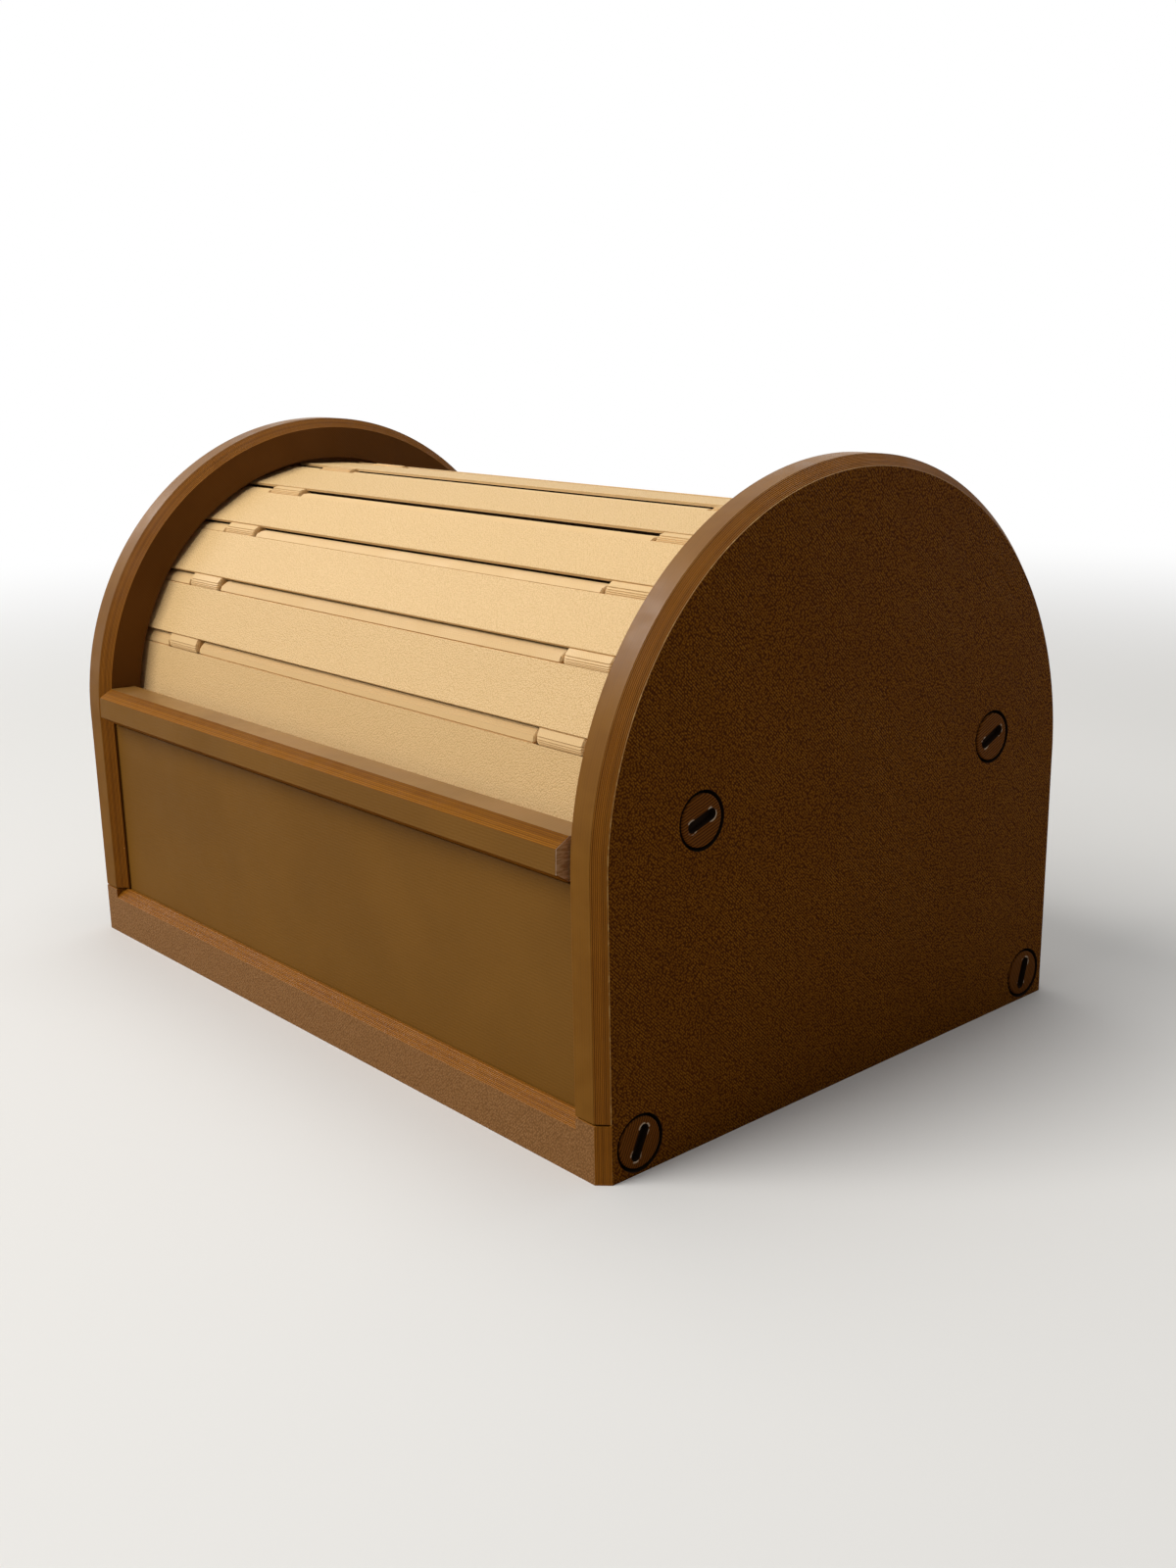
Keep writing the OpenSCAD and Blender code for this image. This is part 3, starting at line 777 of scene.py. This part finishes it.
def rod(name, centre, radius, x0, x1, coats=CASE_COATS, coat=LAYERS, count=48):
    """A cylinder along X, round a centre in Y and Z, or in r and t."""
    return skin(name, along_x(circle(centre, radius, count), (x0, x1)), coats, coat, coat, coat)


# ---- Case ----

def rim_profile():
    """Depth from the outer face and inset of a side panel's rim: ten layers of chamfer, the edge, and ten
    layers more."""
    outer = slope((0, CHAMFER), (CHAMFER, 0), 1)
    inner = outer[::-1] * (-1, 1) + (PANEL_T, 0)
    return np.concatenate([outer, [(CHAMFER + LAP, 0), (PANEL_T - CHAMFER - LAP, 0)], inner])


def panel_outline(inset):
    """Y and Z round a side panel: up past the rail's notch, over the arch, and down again."""
    r = ARCH_R - inset
    foot = ARCH_R - CHAMFER
    notch = RAIL_H + NOTCH_GAP
    over = arc((0, ARCH_Z), r, 180, 0, ARCH_POINTS)
    front, rear = [(-foot, 0), (-foot, notch), (-r, notch)], [(r, notch), (foot, notch), (foot, 0)]
    return np.concatenate([front, over, rear])


def turned(side, y, z, steps, count):
    """Rings round a screw's axis, from steps of depth behind a side's outer face and radius."""
    return [at_x(circle((y, z), radius, count), side * (HALF_W - depth)) for depth, radius in steps]


def screw_recess(side, y, z):
    """What a screw's recess and hole take out of a side panel: a stepped cylinder."""
    seat = HEAD_T + FIT
    steps = [(-OVER, RECESS_R), (seat, RECESS_R), (seat, HOLE_R), (PANEL_T + OVER, HOLE_R)]
    # The recess's walls and floor are painted near black as shade.
    return skin("recess", turned(side, y, z, steps, RECESS_POINTS), CASE_COATS, SHADED_RECESS, SHADED_RECESS, SHADED_RECESS)


def track_cut(side):
    """What the track takes out of a side panel: a rectangle carried round the arch's centre."""
    x0, x1 = side * (INNER_X + TRACK_DEPTH), side * (INNER_X - OVER)
    section = np.array([(x0, TRACK_IN), (x1, TRACK_IN), (x1, TRACK_OUT), (x0, TRACK_OUT)])
    turn = np.radians(np.linspace(*TRACK_TURN, TRACK_POINTS))[:, None]
    x, r = section.T
    rings = np.stack([x + 0 * turn, -r * np.cos(turn), ARCH_Z + r * np.sin(turn)], -1)
    return skin("track", rings, CASE_COATS)


def wall_slot(side, node):
    """The slot that holds the end of the front or back panel."""
    low, high = size_of(node)
    inside, outside = side * (INNER_X - OVER), side * (high[0] + WALL_GAP)
    return block("slot", (inside, low[1] - WALL_GAP, low[2] - FIT),
                 (outside, high[1] + WALL_GAP, high[2] + WALL_HEADROOM))


def side_panel(side, node):
    """A side panel, printed outer face down, pierced for its screws, the track and the two walls. Its rim has
    an arris with a painted highlight, layers, and a plainer edge, and the notches over the rails are painted
    near black as shade."""
    rings = [at_x(panel_outline(inset), side * (HALF_W - depth)) for depth, inset in rim_profile()]
    levels, count = len(rings) - 1, len(rings[0])
    middle = levels // 2
    coats = np.full((levels, count), LAYERS)
    # The band next to the outer face is the painted highlight along the arris.
    coats[:3] = HIGHLIGHT_ARRIS
    coats[middle - 1:middle + 2] = EDGE
    # The faces over the rails' notches are painted near black as shade.
    coats[:, [1, count - 3]] = SHADED_RECESS
    # The inner face takes the darker brown of painted shade.
    panel = skin(node + "_print", rings, CASE_COATS, coats, PLATE, SHADED_INSIDE)
    cuts = [screw_recess(side, end * UPPER_Y, UPPER_Z) for end in (-1, 1)]
    cuts += [screw_recess(side, end * LOWER_Y, LOWER_Z) for end in (-1, 1)]
    cuts += [track_cut(side), wall_slot(side, "front_panel"), wall_slot(side, "back_panel")]
    combine(panel, cuts, "DIFFERENCE")
    finish_piece(panel, (1, 0, 0))
    install(panel, node, "case")


def base_rail(end, node, wall):
    """A base rail, printed face down: ten layers make the end and top chamfers of its face strip, which
    stands in front of a bar that is grooved for the wall and rebated for the floor."""
    top_x = INNER_X + CHAMFER
    rings = []
    for depth, inset in slope((0, CHAMFER), (CHAMFER, 0), 1):
        half, top = HALF_W - inset, RAIL_H - inset
        in_seam = inset % LAYER > 0.6 * LAYER
        high = RAIL_H - GROOVE * in_seam
        outline = [
            (-half, 0), (half, 0), (half, high), (top_x, high),
            (top_x, top), (-top_x, top), (-top_x, high), (-half, high)
        ]
        rings.append(np.insert(np.array(outline), 1, end * (ARCH_R - depth), axis=1))
    # The rail's face takes the lighter brown of painted sheen.
    rail = skin(node + "_print", rings, CASE_COATS, LAYERS, SHEEN_RAIL_PLATE, LAYERS)
    front = ARCH_R - CHAMFER + LAP
    back = ARCH_R - CHAMFER - RAIL_D
    length = INNER_X - FIT
    near, far = sorted((end * back, end * front))
    combine(rail, [block("bar", (-length, near, 0), (length, far, RAIL_H))], "UNION")
    low, high = size_of(wall)
    past = length + OVER
    near, far = sorted((end * (back - OVER), end * (back + REBATE_D)))
    cuts = [
        block("groove", (-past, low[1] - WALL_GAP, low[2] - FIT), (past, high[1] + WALL_GAP, RAIL_H + OVER)),
        block("rebate", (-past, near, -OVER), (past, far, FLOOR_T + FIT))
    ]
    axis = (end * LOWER_Y, LOWER_Z)
    cuts += [rod("core", axis, SHANK_R + FIT, side * (length - CORE_L), side * past) for side in (-1, 1)]
    combine(rail, cuts, "DIFFERENCE")
    finish_piece(rail, (0, 1, 0))
    install(rail, node, "case")


def wall_panel(node):
    """The front or back panel: a flat print with its arrises rounded."""
    low, high = size_of(node)
    panel = block(node + "_print", low, high, TOP)
    rounding = panel.modifiers.new("arris", "BEVEL")
    rounding.width = WALL_ARRIS * MM
    rounding.segments = 3
    finish_piece(panel, (0, 0, 1))
    install(panel, node, "case")


def screw(side, y, z, turn):
    """One screw: a head with a rounded rim, its slot with round ends, and a plain shank."""
    flat_r = HEAD_R - HEAD_ROUND
    rim = [(0, flat_r - LAP)] + arc((HEAD_ROUND, flat_r), HEAD_ROUND, 180, 90, 5).tolist()
    rim.append((HEAD_T, HEAD_R))
    shank = [(HEAD_T, SHANK_R), (SCREW_L - TIP, SHANK_R), (SCREW_L, SHANK_R - TIP)]
    rings = turned(side, y, z, rim + shank, SCREW_POINTS)
    coats = np.full((len(rings) - 1, 1), HEAD)
    # The head's side, inside its recess, is painted near black as shade.
    coats[len(rim) - 2] = SHADED_SIDE
    piece = skin("screw", rings, SCREW_COATS, coats, HEAD, HEAD)
    half = (SLOT_L - SLOT_W) / 2
    stadium = np.concatenate([
        arc((half, 0), SLOT_W / 2, -90, 90, 13), arc((-half, 0), SLOT_W / 2, 90, 270, 13)])
    a = math.radians(turn)
    along, across = (math.cos(a), math.sin(a)), (-math.sin(a), math.cos(a))
    spun = stadium @ np.array([along, across]) + (y, z)
    depths = [side * (HALF_W + OVER), side * (HALF_W - SLOT_D)]
    # The slot's walls and floor are painted near black as shade.
    slot = skin("slot", along_x(spun, depths), SCREW_COATS, SHADED_SIDE, SHADED_SIDE, SHADED_SIDE)
    combine(piece, [slot], "DIFFERENCE")
    uv = piece.data.uv_layers.new(name="slot_mm")
    corner = np.empty(len(piece.data.loops), np.int32)
    piece.data.loops.foreach_get("vertex_index", corner)
    local = mesh_points(piece.data)[:, 1:] - (y, z)
    flat = np.stack([local @ along, local @ across], 1)
    uv.data.foreach_set("uv", flat[corner].astype(np.float32).reshape(-1))
    return piece


def screw_pair(node):
    """The front and rear screws of one height on one side, as one piece."""
    side, y, z, turns = SCREWS[node]
    pair = [screw(side, end * y, z, turn) for end, turn in zip((-1, 1), turns)]
    joined = bmesh.new()
    for piece in pair:
        joined.from_mesh(piece.data)
    mesh = pair[0].data.copy()
    joined.to_mesh(mesh)
    joined.free()
    both = bpy.data.objects.new(node + "_print", mesh)
    bpy.context.scene.collection.objects.link(both)
    for piece in pair:
        bpy.data.objects.remove(piece)
    finish_piece(both, (1, 0, 0))
    install(both, node, "case")


# ---- Curtain ----

def barrel_outline():
    """The barrel along a slat's upper edge: a groove at its foot, a flat one layer below the face, layers
    that roll over towards the joint, and the back of the hinge circle."""
    tops = SLAT_FACE - LAYER * np.arange(1, 8)
    steps = layered(tops, SLAT_HALF - BARREL_STEPS, -1)
    back = arc((AXIS_R, AXIS_T), BARREL_R, 80, 180, 10)
    root = FOOT_T - BARREL_ROOT
    deep = tops[0] - 0.30
    groove = [(deep, root), (deep, FOOT_T + 0.10), (tops[0], FOOT_T + 0.24)]
    return np.concatenate([groove, steps, back, [(AXIS_R - BARREL_R, root)]])


def knuckle_outline():
    """The knuckle that reaches down from a slat: a crease where it leaves the slat, a flat band one layer
    below the face, then layers that roll under to a nose, and the back of the hinge circle."""
    tops = SLAT_FACE - LAYER * np.arange(1, 8) + 0.03
    steps = layered(tops, LOW_T - KNUCKLE_STEPS, 1)
    deep = SLAT_FACE - 0.36
    crease = [(deep, KNUCKLE_ROOT), (deep, -SLAT_HALF - 0.08), (tops[0], -SLAT_HALF - 0.20)]
    tip = arc((LOW_R, LOW_T), BARREL_R, -62, -217, 14)
    return np.concatenate([crease, steps, tip, [(SLAT_BACK, KNUCKLE_ROOT)]])


def body_outline(top_t):
    """A slat's plain part: a slab with its lower front arris cut off."""
    arris = 0.08
    return np.array([
        (SLAT_FACE, top_t), (SLAT_FACE, arris - SLAT_HALF), (SLAT_FACE - arris, -SLAT_HALF),
        (SLAT_BACK, -SLAT_HALF), (SLAT_BACK, top_t)
    ])


def rounded_ends(outline, x0, x1, is_nose):
    """Rings of an outline from x0 to x1. Towards each end its face steps down a layer at a time, and its
    corners draw in round: at a distance d by radius - sqrt(radius^2 - (radius - d)^2)."""
    pull = END_ROUND - np.sqrt(END_ROUND ** 2 - (END_ROUND - END_AWAY) ** 2)
    xs = np.concatenate([x0 + END_AWAY, (x1 - END_AWAY)[::-1]])[:, None]
    pull = np.concatenate([pull, pull[::-1]])[:, None]
    drop = np.concatenate([END_DROP, END_DROP[::-1]])[:, None]
    r, t = outline.T
    if is_nose:
        t = np.where((t < LOW_T) & (r > LOW_R), np.minimum(t + pull, LOW_T), t)
    else:
        raised = np.where(pull > 0, np.maximum(t, FOOT_T + pull), t)
        t = np.where(r < AXIS_R, t, np.where(t > AXIS_T, np.maximum(t - pull, AXIS_T), raised))
    shallow, deep = END_FADE
    near_face = np.clip((r - SLAT_FACE + deep) / (deep - shallow), 0, 1)
    r = r - drop * near_face
    return np.stack([xs + 0 * r, r, t + 0 * r], -1)


def slat_shell(name, rings):
    """A closed skin of a slat's rings: grained on the face, smooth where level, and layered elsewhere."""
    r = rings[:-1, :, 1]
    beside = np.roll(r, -1, 1)
    is_level = np.abs(r - beside) < 0.02
    on_face = np.minimum(r, beside) > SLAT_FACE - 0.1
    coats = np.where(on_face, PLATE, np.where(is_level, TOP, LAYERS))
    return skin(name, rings, SLAT_COATS, coats)


def hinge_rod(name, r, t, radius, x0, x1, coat):
    """A cylinder along X at r and t, in a slat's plastic."""
    return rod(name, (r, t), radius, x0, x1, SLAT_COATS, coat, HINGE_POINTS)


def make_slat(has_barrels):
    """One slat at angle 0, with x, r and t as its axes. The last slat has no barrels."""
    top = FOOT_T if has_barrels else TAIL_T
    slat = slat_shell("slat", along_x(body_outline(top), (-SLAT_END, SLAT_END)))
    # Sockets and pockets take the near-black coat of painted shade.
    cuts = [hinge_rod("socket", LOW_R, LOW_T, SOCKET_R, -SLAT_END - OVER, SLAT_END + OVER, SHADED_HOLLOW)]
    joins = []
    if has_barrels:
        barrel = barrel_outline()
        middle = POCKET_IN - BARREL_SHY
        joins.append(slat_shell("barrel", rounded_ends(barrel, -middle, middle, False)))
        for s in (-1, 1):
            cuts.append(hinge_rod("pocket", AXIS_R, AXIS_T, SOCKET_R, s * POCKET_IN, s * POCKET_OUT, SHADED_HOLLOW))
            outer = sorted((s * POCKET_OUT, s * SLAT_END))
            joins.append(slat_shell("barrel", rounded_ends(barrel, *outer, False)))
            ends = (s * (POCKET_IN - OVER), s * (POCKET_OUT + OVER))
            joins.append(hinge_rod("pin", AXIS_R, AXIS_T, PIN_R, *ends, LAYERS))
    for s in (-1, 1):
        ends = sorted((s * KNUCKLE_IN, s * KNUCKLE_OUT))
        joins.append(slat_shell("knuckle", rounded_ends(knuckle_outline(), *ends, True)))
    combine(slat, cuts, "DIFFERENCE")
    combine(slat, joins, "UNION")
    return slat


def place_slat(template, number):
    """A copy of a slat, brought to its angle on the track. That mirrors it, so its faces are flipped."""
    angle = FIRST_JOINT + (number - 0.5) * PITCH
    mesh = template.data.copy()
    points = mesh_points(mesh)
    placed = np.column_stack([points[:, 0], on_track(points[:, 1:], angle)])
    mesh.vertices.foreach_set("co", (placed * MM).astype(np.float32).reshape(-1))
    mesh.flip_normals()
    node = f"slat_{number:02d}"
    piece = bpy.data.objects.new(node + "_print", mesh)
    bpy.context.scene.collection.objects.link(piece)
    a = math.radians(angle)
    finish_piece(piece, (0, -math.cos(a), math.sin(a)), SLAT_FACE + ARCH_Z * math.sin(a))
    install(piece, node, "curtain")


def bar_outline():
    """The pull bar's section: front bevels cut into layers of height, and a bevelled back."""
    half = BAR_H / 2
    low, high = BAR_BEVEL_H - half, half - BAR_BEVEL_H
    front_r, back_r = BAR_R1 - BAR_BEVEL_D, BAR_R0 + BAR_BEVEL_D
    bottom = slope((-half, front_r), (low, BAR_R1), -1, BAR_LEAN)[:, ::-1]
    top = slope((high, BAR_R1), (half, front_r), -1, BAR_LEAN)[:, ::-1]
    back = slope((half, back_r), (BAR_BACK_T, BAR_BACK_R), 1, BAR_LEAN)[:, ::-1]
    under = slope((low, BAR_BACK_R), (-half, back_r), 1, BAR_LEAN)[:, ::-1]
    face, flat_top = [(BAR_R1, low + LAP), (BAR_R1, high - LAP)], [(front_r, half), (back_r, half)]
    return np.concatenate([bottom, face, top, flat_top, back, under])


def pull_bar():
    """The pull bar with its runner and its half of the first hinge. Its flats, its top and underside, and the
    rubbed edges of its ends have coats of their own; the top and underside are painted lighter, as sheen."""
    outline = on_track(bar_outline(), BAR_ANGLE)
    middle = outline.mean(0)
    stations = [(away - BAR_X, share) for away, share in BAR_ENDS]
    stations += [(BAR_X - away, share) for away, share in BAR_ENDS[::-1]]
    rings = [at_x(middle + (outline - middle) * share, x) for x, share in stations]
    r, t = bar_outline().T
    tall, deep = 3, 4
    flats = np.abs(np.roll(t, -1) - t) > tall
    level_faces = np.abs(np.roll(r, -1) - r) > deep
    front = (t > BAR_BEVEL_H - BAR_H / 2 - 0.1) & (r > BAR_R1 - BAR_BEVEL_D - 0.2)
    coats = np.full((len(stations) - 1, len(outline)), BAR_LAYERS)
    coats[:, flats] = TOP
    # Top and underside take the lighter brown of painted sheen.
    coats[:, level_faces] = SHEEN_BAR_TOP
    coats[[0, -1]] = np.where(front, RUBBED, LAYERS)
    bar = skin("pull_bar_print", rings, CASE_COATS, coats, SCUFFED, SCUFFED)
    turn = math.radians(FIRST_JOINT - PITCH / 2 - BAR_ANGLE) + AXIS_PHI
    axis_r, axis_t = AXIS_RHO * math.cos(turn), AXIS_RHO * math.sin(turn)
    low_t = RUNNER_LIFT - BAR_H / 2
    runner = [(SLAT_BACK, low_t), (SLAT_FACE, low_t), (SLAT_FACE, axis_t), (SLAT_BACK, axis_t)]
    axis = on_track([(axis_r, axis_t)], BAR_ANGLE)[0]
    joins = [
        skin("runner", along_x(on_track(runner, BAR_ANGLE), (-SLAT_END, SLAT_END)), CASE_COATS),
        rod("barrel", axis, BARREL_R, -SLAT_END, SLAT_END)
    ]
    cuts = [rod("pocket", axis, SOCKET_R, s * POCKET_IN, s * POCKET_OUT) for s in (-1, 1)]
    pins = [rod("pin", axis, PIN_R, s * (POCKET_IN - OVER), s * (POCKET_OUT + OVER)) for s in (-1, 1)]
    combine(bar, joins, "UNION")
    combine(bar, cuts, "DIFFERENCE")
    combine(bar, pins, "UNION")
    a = math.radians(BAR_ANGLE)
    finish_piece(bar, (0, math.sin(a), math.cos(a)), ARCH_Z * math.cos(a) + BAR_H / 2 - BAR_BEVEL_H)
    install(bar, "pull_bar", "curtain")


# ---- Build ----

# The inner pieces take the darker brown of painted shade.
for node in ("floor_panel", "inner_front_wall", "inner_liner"):
    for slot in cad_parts[node].material_slots:
        slot.material = SHADED_INNER_COAT
for side, node in ((-1, "left_side_panel"), (1, "right_side_panel")):
    side_panel(side, node)
base_rail(-1, "front_base_rail", "front_panel")
base_rail(1, "rear_base_rail", "back_panel")
wall_panel("front_panel")
wall_panel("back_panel")
for node in SCREWS:
    screw_pair(node)
slat = make_slat(True)
tail = make_slat(False)
for number in range(1, SLATS + 1):
    place_slat(tail if number == SLATS else slat, number)
bpy.data.objects.remove(slat)
bpy.data.objects.remove(tail)
pull_bar()

add_camera()
add_floor()
light_world()
for name in LIGHTS:
    add_light(name)
bpy.context.scene.view_settings.view_transform = "Standard"
